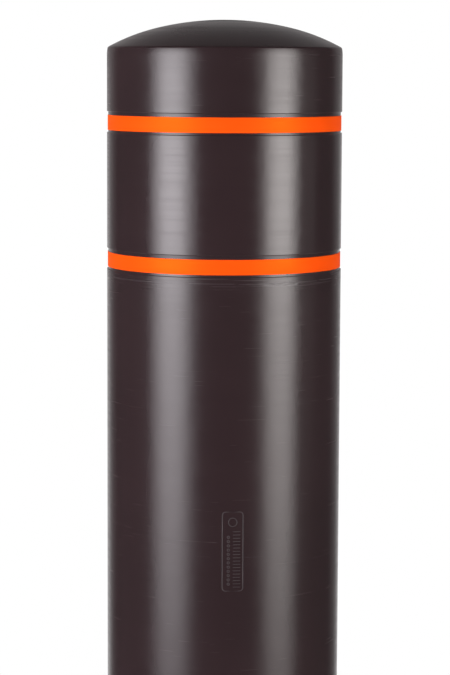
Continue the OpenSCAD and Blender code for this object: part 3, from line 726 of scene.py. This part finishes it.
# %% Bevel the parts that can be seen
EDGED = {
    "casing_floor": ("casing", 1.2), "casing_flange": ("casing", 0.8), "flange_gussets": ("casing", 0.6),
    "trim_ring": ("casing", 0.5), "lock_housing": ("post", 0.3), "key_flap": ("flap", 0.3),
    "lock_spindle": ("lock_shaft", 0.3), "bolt_keepers": ("casing", 0.8),
}
slots_by_node = {entry["node"]: entry["material_slot"] for entry in frame["record"]["subparts"]}
for node, (body, width) in EDGED.items():
    softened(node, width * MM, slots_by_node[node], body, node + "_edged")

# %% [markdown]
# ## Fasteners
# A screw is a stack of rings: the socket's floor, its six-sided wall, the flat of the head, the cone
# and the shank. Each ring says its height and how its radius changes with the turn, so a six-sided
# ring and a round one can sit in the same stack.

# %% A stack of rings
def sided(across_flats_r, sides):
    def radius(turn):
        wedge = 2 * pi / sides
        return across_flats_r / cos((turn + wedge / 2) % wedge - wedge / 2)
    return radius


def ring_stack(name, rings, steps=48, sharp_degrees=35):
    points, faces = [], []
    for radius, height in rings:
        for i in range(steps):
            turn = 2 * pi * i / steps
            reach = radius(turn) if callable(radius) else radius
            points.append((reach * cos(turn), reach * sin(turn), height))
    for level in range(len(rings) - 1):
        for i in range(steps):
            first, second = level * steps + i, level * steps + (i + 1) % steps
            faces.append((first, second, second + steps, first + steps))
    faces.append(tuple(range(steps))[::-1])
    faces.append(tuple((len(rings) - 1) * steps + i for i in range(steps)))
    return tidy_mesh(mesh_of(name, points, faces), sharp_degrees)


# %% The eight screws of the paving ring
SCREW_LOW, SCREW_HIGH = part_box("trim_screws")
SCREW_AT = (TRIM_R + CASING_R) / 2 + 3 * MM


def countersunk_screw(top, foot, shank_r, head_r, socket_r):
    socket = sided(socket_r, 6)
    chamfer = sided(socket_r + 0.35 * MM, 6)
    return ring_stack("screw", [
        (0.4 * MM, top - 3.6 * MM), (socket, top - 3.0 * MM), (socket, top - 0.35 * MM), (chamfer, top),
        (head_r - 0.5 * MM, top), (head_r - 0.1 * MM, top - 0.2 * MM), (head_r, top - 0.6 * MM),
        (shank_r, top - 4.2 * MM), (shank_r, foot + 0.8 * MM), (shank_r - 0.8 * MM, foot)])


screw = countersunk_screw(SCREW_HIGH.z, SCREW_LOW.z, 4 * MM, 8 * MM, 2.5 * MM)
screw.transform(Matrix.Translation((SCREW_AT, 0, 0)))
piece("trim_ring_screws", ring_of("trim_ring_screws", screw, "stainless_steel", 8, 22.5),
      "casing", "stainless_steel", ["trim_screws"])

# %% [markdown]
# ## Welds, anchors and the pipe's seam
# The casing is a weldment. A fillet weld runs round the foot plate, under the flange, along each
# gusset and round each keeper and the drain's boss, and its surface is a row of small ripples. The
# anchors are ribbed bar, bent once. The pipe has a shallow seam down one side from where it was
# rolled.

# %% Round welds
BEAD_R, BEAD_RIPPLE, BEAD_PITCH = 3.4 * MM, 0.35 * MM, 3.2 * MM


def circle_path(radius, height, count=180):
    return [(radius * cos(2 * pi * i / count), radius * sin(2 * pi * i / count), height)
            for i in range(count)]


def saddle_path(reach, centre_z, turn_degrees, count=72):
    points = []
    for i in range(count):
        across, up = reach * cos(2 * pi * i / count), reach * sin(2 * pi * i / count)
        points.append(Vector((sqrt(CASING_R ** 2 - across ** 2) + 0.5 * MM, across, centre_z + up)))
    spin = Matrix.Rotation(radians(turn_degrees), 4, "Z")
    return [tuple(spin @ point) for point in points]


def weld(name, points, radius=BEAD_R, loop=True):
    return rod(name, points, "galvanised_steel", radius, BEAD_RIPPLE, BEAD_PITCH, step=0.8 * MM, loop=loop)


FLANGE_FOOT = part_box("casing_flange")[0].z
KEEPER_LOW, KEEPER_HIGH = [corner.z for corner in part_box("bolt_keepers")]
KEEPER_R = 18 * MM
DRAIN_LOW, DRAIN_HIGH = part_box("drain_outlet")
DRAIN_Z, BOSS_R = (DRAIN_LOW.z + DRAIN_HIGH.z) / 2, (DRAIN_HIGH.z - DRAIN_LOW.z) / 2
BEAD_OUT = 1.2 * MM
beads = [weld("foot_weld", circle_path(CASING_R + BEAD_OUT, CASING_FOOT + BEAD_OUT)),
         weld("flange_weld", circle_path(CASING_R + BEAD_OUT, FLANGE_FOOT - BEAD_OUT)),
         weld("drain_weld", saddle_path(BOSS_R + 0.8 * MM, DRAIN_Z, 0), 2.6 * MM)]
for height in (KEEPER_LOW + KEEPER_R, KEEPER_HIGH - KEEPER_R):
    for turn_degrees in (90, 270):
        beads.append(weld("keeper_weld", saddle_path(KEEPER_R + 0.6 * MM, height, turn_degrees), 2.4 * MM))
GUSSET_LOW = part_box("flange_gussets")[0].z
for side in (-1, 1):
    line = [(CASING_R + 0.8 * MM, side * 4.6 * MM, FLANGE_FOOT - 5 * MM),
            (CASING_R + 0.8 * MM, side * 4.6 * MM, GUSSET_LOW + 1 * MM)]
    beads.append(ring_of("gusset_weld", weld("gusset_bead", line, 2.2 * MM, False),
                         "galvanised_steel", 4, 45))
piece("casing_welds", joined("casing_welds", beads), "casing", "galvanised_steel")

# %% The seam of the casing pipe
SEAM_TURN = radians(160)
seam_r = CASING_R - 1.9 * MM
seam_line = [(seam_r * sin(SEAM_TURN), -seam_r * cos(SEAM_TURN), z)
             for z in (CASING_FOOT + 6 * MM, CASING_HEAD - 6 * MM)]
seam = rod("casing_seam", seam_line, "galvanised_steel", 2.4 * MM, 0.06 * MM, 11 * MM, step=4 * MM,
           sides=10)
piece("casing_seam", seam, "casing", "galvanised_steel")

# %% The concrete anchors
ANCHOR_LOW, ANCHOR_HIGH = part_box("concrete_anchors")
BAR_R, BAR_RIB, BAR_RIB_PITCH, BAR_BEND = 6 * MM, 0.35 * MM, 7 * MM, 16 * MM
BAR_REACH, BAR_DROP, BAR_WELD_R = 165 * MM, 80 * MM, 7 * MM
UPPER_ANCHOR_Z = ANCHOR_HIGH.z - BAR_R
LOWER_ANCHOR_Z = ANCHOR_LOW.z + BAR_DROP
anchor_elbow = BAR_REACH - BAR_R
anchor_path = [(CASING_R - 1 * MM, 0, 0), (anchor_elbow, 0, 0), (anchor_elbow, 0, -BAR_DROP)]
weld_turns = [2 * pi * i / 24 for i in range(24)]
weld_path = [(CASING_R + 0.6 * MM, BAR_WELD_R * cos(t), BAR_WELD_R * sin(t)) for t in weld_turns]
one_anchor = joined("one_anchor", [
    rod("anchor_bar", anchor_path, "anchor_steel", BAR_R - BAR_RIB, BAR_RIB, BAR_RIB_PITCH, BAR_BEND,
        1 * MM, 16),
    rod("anchor_weld", weld_path, "anchor_steel", 1.8 * MM, 0.3 * MM, 3 * MM, step=0.8 * MM, loop=True)])
anchors = [ring_of("anchor_row", one_anchor, "anchor_steel", 4, 45, height)
           for height in (UPPER_ANCHOR_Z, LOWER_ANCHOR_Z)]
piece("ribbed_anchors", joined("ribbed_anchors", anchors), "casing", "anchor_steel", ["concrete_anchors"])

# %% [markdown]
# ## The drain pipe and the wiper seal
# Both are turned outlines. The pipe is laid along X after the lathe has made it upright. It has a
# thick boss where it meets the casing, a spigot with a chamfered end that starts into its socket, and
# two low ribs that grip. The seal has two thin lips that brush the post and keep grit out of the
# casing.

# %% The drain pipe
SPIGOT_R, DRAIN_BORE, SPIGOT_LONG, GRIP_R = 25 * MM, 22.5 * MM, 50 * MM, 0.6 * MM
DRAIN_START, DRAIN_END = DRAIN_LOW.x, DRAIN_HIGH.x
BOSS_END = DRAIN_END - SPIGOT_LONG
pipe_outline = [
    (DRAIN_BORE, DRAIN_START), (BOSS_R, DRAIN_START), (BOSS_R, BOSS_END - 1 * MM),
    (BOSS_R - 1 * MM, BOSS_END), (SPIGOT_R, BOSS_END),
    (SPIGOT_R, DRAIN_END - 24 * MM), *arc(SPIGOT_R, DRAIN_END - 23 * MM, GRIP_R, 180, 0, 6),
    (SPIGOT_R, DRAIN_END - 14 * MM), *arc(SPIGOT_R, DRAIN_END - 13 * MM, GRIP_R, 180, 0, 6),
    (SPIGOT_R, DRAIN_END - 3 * MM), (SPIGOT_R - 1.2 * MM, DRAIN_END), (DRAIN_BORE, DRAIN_END)]
pipe = lathe("drain_pipe", pipe_outline, "drain_plastic", 96)
pipe.transform(Matrix.Translation((0, 0, DRAIN_Z)) @ Matrix.Rotation(pi / 2, 4, "Y"))
piece("drain_pipe", pipe, "casing", "drain_plastic", ["drain_outlet"])

# %% The wiper seal, as steps out from the sleeve's wall
SEAL_LOW, SEAL_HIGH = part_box("wiper_seal")
SEAL_SHELF = -10 * MM
outer_steps = [(1.7, SEAL_SHELF), (1.45, -3.6 * MM)]
inner_steps = [(0.4, -5.4 * MM), (1.0, -8.6 * MM), (0.5, -9.4 * MM), (0.5, -11 * MM), (1.4, -13 * MM),
               (3.0, SEAL_LOW.z)]
seal_outline = [(SEAL_HIGH.x, SEAL_LOW.z), (SEAL_HIGH.x, SEAL_SHELF)]
seal_outline += [(SLEEVE_R + step * MM, z) for step, z in outer_steps]
seal_outline += arc(SLEEVE_R + 0.95 * MM, -3.5 * MM, 0.5 * MM, 90, -90, 6)
seal_outline += [(SLEEVE_R + step * MM, z) for step, z in inner_steps]
piece("wiper_lips", lathe("wiper_lips", seal_outline, "black_rubber", 160),
      "casing", "black_rubber", ["wiper_seal"])

# %% [markdown]
# ## Studio
# The light is what a small product studio uses: one tall soft panel on each side of the camera,
# brightest at two thirds of the raised post's height, a lit backdrop, a dim room, and a pale floor
# that fades into white. The side panels give the two long highlights on the sleeve. The backdrop
# lights the crown, and a see-through panel in front of it gives the narrow light rims where the wall
# turns away.

# %% The floor
FLOOR_GAP, FADE_FROM, FADE_TO, FLOOR_SIDES = 0.5 * MM, 2.6, 4.8, 96


def floor_finish():
    material = bpy.data.materials.new("studio_floor")
    material.use_nodes = True
    tree = material.node_tree
    tree.nodes.clear()
    place = put(tree, "ShaderNodeTexCoord").outputs["Object"]
    away = put(tree, "ShaderNodeVectorMath", {0: place}, operation="LENGTH").outputs["Value"]
    fade = span(tree, away, FADE_FROM, FADE_TO, 0.0, 1.0)
    grain = noise(tree, place, 3.0, 2.0)
    paint = put(tree, "ShaderNodeBsdfDiffuse", {
        "Color": blend_colours(tree, grain, (0.80, 0.80, 0.79), (0.83, 0.83, 0.82))}).outputs[0]
    clear = put(tree, "ShaderNodeBsdfTransparent").outputs[0]
    mixed = put(tree, "ShaderNodeMixShader", {0: fade, 1: paint, 2: clear}).outputs[0]
    put(tree, "ShaderNodeOutputMaterial", {"Surface": mixed})
    return material


floor_mesh = mesh_of("studio_floor", circle_path(FADE_TO, GROUND_LOW - FLOOR_GAP, FLOOR_SIDES),
                     [tuple(range(FLOOR_SIDES))])
floor = bpy.data.objects.new("studio_floor", floor_mesh)
floor.data.materials.append(floor_finish())
SCENE.collection.objects.link(floor)
print("floor at %.1f mm, %.1f m to its edge" % ((GROUND_LOW - FLOOR_GAP) / MM, FADE_TO))


# %% How bright a panel is, up its height in metres and across its width in degrees round the post
GLOW_UP = [(-0.85, 0.0), (-0.30, 0.10), (-0.15, 0.18), (-0.04, 0.24), (0.135, 0.385), (0.31, 0.51),
           (0.48, 0.62), (0.58, 0.80), (0.66, 0.95), (0.80, 0.85), (1.3, 0.5), (1.8, 0.0)]
LEFT_GLOW = [(-77, 0.0), (-67, 0.45), (-59, 0.9), (-50, 1.0), (-41, 0.85), (-32, 0.28), (-23, 0.0)]
RIGHT_GLOW = [(29, 0.0), (37, 0.18), (45, 0.75), (54, 1.0), (63, 0.93), (71, 0.44), (78, 0.04),
              (97, 0.04), (99, 0.0)]
BACK_GLOW = [(-58, 0.0), (-40, 0.9), (0, 1.0), (40, 0.9), (58, 0.0)]
BACK_GLOW_UP = [(-0.85, 0.45), (0.5, 0.6), (1.0, 0.83), (1.5, 0.83), (2.3, 0.6), (3.4, 0.5), (5.6, 0.42)]
RIM_GLOW = [(-38, 0.0), (-32, 0.10), (-26, 0.45), (-20, 1.0), (24, 1.0), (30, 0.6), (36, 0.14), (42, 0.0)]
RIM_GLOW_UP = [(-0.85, 1.0), (-0.14, 0.7), (0.2, 0.6), (0.5, 0.5), (0.78, 0.3), (0.95, 0.0)]
SIDE_AWAY, RIM_AWAY, BACK_AWAY = 1.95, 2.55, 2.6
PANEL_STEPS = 12


def ramp(tree, value, stops):
    low, high = stops[0][0], stops[-1][0]
    along = put(tree, "ShaderNodeMapRange", {"Value": value, "From Min": low, "From Max": high})
    made = put(tree, "ShaderNodeValToRGB", {0: along.outputs[0]})
    points = made.color_ramp.elements
    for place, level in stops[1:-1]:
        points.new((place - low) / (high - low))
    for point, (place, level) in zip(points, stops):
        point.color = (level, level, level, 1)
    return made.outputs[0]


# %% The soft panels: one on each side, the backdrop, and a see-through one for the rims
def panel_finish(name, strength, tint, across, up, see_through):
    material = bpy.data.materials.new(name)
    material.use_nodes = True
    tree = material.node_tree
    tree.nodes.clear()
    place = put(tree, "ShaderNodeTexCoord").outputs["Object"]
    part = put(tree, "ShaderNodeSeparateXYZ", {0: place}).outputs
    turn = calc(tree, "MULTIPLY", calc(tree, "ARCTAN2", part[0], calc(tree, "MULTIPLY", part[1], -1)),
                degrees(1))
    glow = calc(tree, "MULTIPLY", ramp(tree, turn, across), ramp(tree, part[2], up))
    light = put(tree, "ShaderNodeEmission", {
        "Color": (*tint, 1), "Strength": calc(tree, "MULTIPLY", glow, strength)}).outputs[0]
    if see_through:
        clear = put(tree, "ShaderNodeBsdfTransparent").outputs[0]
        light = put(tree, "ShaderNodeAddShader", {0: light, 1: clear}).outputs[0]
    put(tree, "ShaderNodeOutputMaterial", {"Surface": light})
    return material


def soft_panel(name, strength, tint, across, up, away, faces_back=False, see_through=False):
    first, last = across[0][0], across[-1][0]
    turns = [radians(first + (last - first) * i / PANEL_STEPS) for i in range(PANEL_STEPS + 1)]
    points = [(away * sin(t), -away * cos(t), z) for z in (up[0][0], up[-1][0]) for t in turns]
    faces = [(i, i + 1, i + PANEL_STEPS + 2, i + PANEL_STEPS + 1) for i in range(PANEL_STEPS)]
    made = bpy.data.objects.new(name, mesh_of(name, points, faces))
    made.data.materials.append(panel_finish(name, strength, tint, across, up, see_through))
    SCENE.collection.objects.link(made)
    if faces_back:
        made.rotation_euler.z = pi
    made.visible_camera = False
    print("%-12s %.2f m from the post, strength %.2f" % (name, away, strength))


soft_panel("left_panel", 11.8, (1.0, 0.963, 1.0), LEFT_GLOW, GLOW_UP, SIDE_AWAY)
soft_panel("right_panel", 10.8, (1.0, 0.955, 0.94), RIGHT_GLOW, GLOW_UP, SIDE_AWAY)
soft_panel("backdrop", 0.42, (1.0, 0.95, 0.955), BACK_GLOW, BACK_GLOW_UP, BACK_AWAY, True)
soft_panel("rim_panel", 0.9, (1.0, 1.0, 1.0), RIM_GLOW, RIM_GLOW_UP, RIM_AWAY, True, True)

# %% The room, the fill and how tones are shown
world = bpy.data.worlds.new("studio_room")
SCENE.world = world
world.use_nodes = True
room = world.node_tree
room.nodes.clear()
seen = put(room, "ShaderNodeLightPath").outputs["Is Camera Ray"]
dim = put(room, "ShaderNodeBackground", {"Color": (1, 1, 1, 1), "Strength": 0.09}).outputs[0]
white = put(room, "ShaderNodeBackground", {"Color": (1, 1, 1, 1), "Strength": 1.0}).outputs[0]
put(room, "ShaderNodeOutputWorld", {
    "Surface": put(room, "ShaderNodeMixShader", {0: seen, 1: dim, 2: white}).outputs[0]})


FILL_AWAY, FILL_SIZE, FILL_AIM = 3.2, 2.0, Vector((0, 0, 0.1))


def fill_light(name, turn_degrees, height, watts):
    lamp = bpy.data.lights.new(name, "AREA")
    lamp.energy = watts
    lamp.shape = "DISK"
    lamp.size = FILL_SIZE
    made = bpy.data.objects.new(name, lamp)
    SCENE.collection.objects.link(made)
    turn = radians(turn_degrees)
    made.location = (FILL_AWAY * sin(turn), -FILL_AWAY * cos(turn), height)
    aim = FILL_AIM - made.location
    made.rotation_euler = aim.to_track_quat("-Z", "Y").to_euler()
    made.visible_glossy = False
    made.visible_camera = False
    print("%-12s %d W, %.1f m up" % (name, watts, height))


fill_light("front_fill", 0, 1.6, 26)
fill_light("left_fill", -80, 1.2, 86)
fill_light("right_fill", 80, 1.2, 134)
fill_light("back_fill", 180, 2.4, 45)
SCENE.view_settings.view_transform = "Standard"

# %% [markdown]
# ## Camera
# A portrait view from 1.98 m in front, 866 mm above the paving and tipped six and a half degrees
# down. It takes in the top half metre of the raised post.

# %% Set the camera
CAMERA_AT = Vector((2.14 * MM, -1978 * MM, 866 * MM))
TIP_DOWN, PAN_LEFT, ROLL = radians(6.444), radians(0.0306), radians(0.234)
lens = bpy.data.cameras.new("camera")
lens.sensor_width = 36.0
lens.lens = 129.96
camera = bpy.data.objects.new("camera", lens)
SCENE.collection.objects.link(camera)
turned = Matrix.Rotation(PAN_LEFT, 3, "Z") @ Matrix.Rotation(pi / 2 - TIP_DOWN, 3, "X")
camera.rotation_euler = (turned @ Matrix.Rotation(ROLL, 3, "Z")).to_euler()
camera.location = CAMERA_AT
SCENE.camera = camera
print("lens %.1f mm" % lens.lens)
